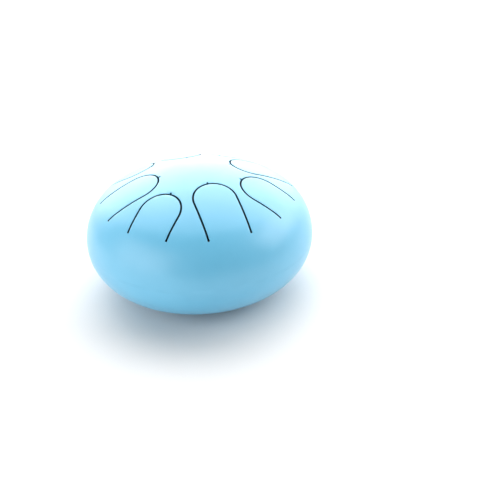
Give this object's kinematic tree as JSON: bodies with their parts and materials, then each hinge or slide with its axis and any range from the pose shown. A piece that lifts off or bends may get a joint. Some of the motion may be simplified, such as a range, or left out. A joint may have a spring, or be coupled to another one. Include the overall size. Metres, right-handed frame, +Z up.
{
  "type": "steel tongue drum",
  "caption": "Steel tongue drum: a round hollow welded body with U-shaped tongues cut in its domed top, a sound port in its flat base and screwed rubber feet.",
  "frame": {"origin": "on the drum's axis, on the surface that its feet stand on", "axes": "+Z up along the drum's axis; -Y points along tongue 1, and tongue numbers go round anticlockwise seen from above"},
  "size_m": [0.155, 0.155, 0.0847],
  "materials": {
    "sky_blue_paint": "satin sky-blue paint on pressed steel",
    "black_rubber": "matte moulded black rubber",
    "zinc_steel": "bright zinc plate"
  },
  "bodies": {
    "drum": {"top_shell": "sky_blue_paint", "bottom_shell": "sky_blue_paint", "rim_weld": "sky_blue_paint", "foot_1": "black_rubber", "foot_washer_1": "zinc_steel", "foot_screw_1": "zinc_steel", "rivet_nut_1": "zinc_steel", "foot_2": "black_rubber", "foot_washer_2": "zinc_steel", "foot_screw_2": "zinc_steel", "rivet_nut_2": "zinc_steel", "foot_3": "black_rubber", "foot_washer_3": "zinc_steel", "foot_screw_3": "zinc_steel", "rivet_nut_3": "zinc_steel"},
    "tongue_1": {"tongue_1": "sky_blue_paint"},
    "tongue_2": {"tongue_2": "sky_blue_paint"},
    "tongue_3": {"tongue_3": "sky_blue_paint"},
    "tongue_4": {"tongue_4": "sky_blue_paint"},
    "tongue_5": {"tongue_5": "sky_blue_paint"},
    "tongue_6": {"tongue_6": "sky_blue_paint"},
    "tongue_7": {"tongue_7": "sky_blue_paint"},
    "tongue_8": {"tongue_8": "sky_blue_paint"}
  },
  "joints": [
    {"name": "tongue_1_flex", "type": "hinge", "parent": "drum", "child": "tongue_1", "pos_m": [0, -0.06352, 0.0645], "axis": [1, 0, 0], "range_deg": [-0.5, 0.5], "stiffness_Nm_per_rad": 100},
    {"name": "tongue_2_flex", "type": "hinge", "parent": "drum", "child": "tongue_2", "pos_m": [0.04646, -0.04332, 0.0645], "axis": [0.682, 0.7314, 0], "range_deg": [-0.5, 0.5], "stiffness_Nm_per_rad": 130},
    {"name": "tongue_3_flex", "type": "hinge", "parent": "drum", "child": "tongue_3", "pos_m": [0.06351, 0.00111, 0.0645], "axis": [-0.0175, 0.9998, 0], "range_deg": [-0.5, 0.5], "stiffness_Nm_per_rad": 100},
    {"name": "tongue_4_flex", "type": "hinge", "parent": "drum", "child": "tongue_4", "pos_m": [0.04492, 0.04492, 0.0645], "axis": [-0.7071, 0.7071, 0], "range_deg": [-0.5, 0.5], "stiffness_Nm_per_rad": 140},
    {"name": "tongue_5_flex", "type": "hinge", "parent": "drum", "child": "tongue_5", "pos_m": [0, 0.06352, 0.0645], "axis": [-1, 0, 0], "range_deg": [-0.5, 0.5], "stiffness_Nm_per_rad": 100},
    {"name": "tongue_6_flex", "type": "hinge", "parent": "drum", "child": "tongue_6", "pos_m": [-0.04413, 0.0457, 0.0645], "axis": [-0.7193, -0.6947, 0], "range_deg": [-0.5, 0.5], "stiffness_Nm_per_rad": 145},
    {"name": "tongue_7_flex", "type": "hinge", "parent": "drum", "child": "tongue_7", "pos_m": [-0.06352, 0, 0.0645], "axis": [0, -1, 0], "range_deg": [-0.5, 0.5], "stiffness_Nm_per_rad": 110},
    {"name": "tongue_8_flex", "type": "hinge", "parent": "drum", "child": "tongue_8", "pos_m": [-0.04608, -0.04373, 0.0645], "axis": [0.6884, -0.7254, 0], "range_deg": [-0.5, 0.5], "stiffness_Nm_per_rad": 140}
  ]
}
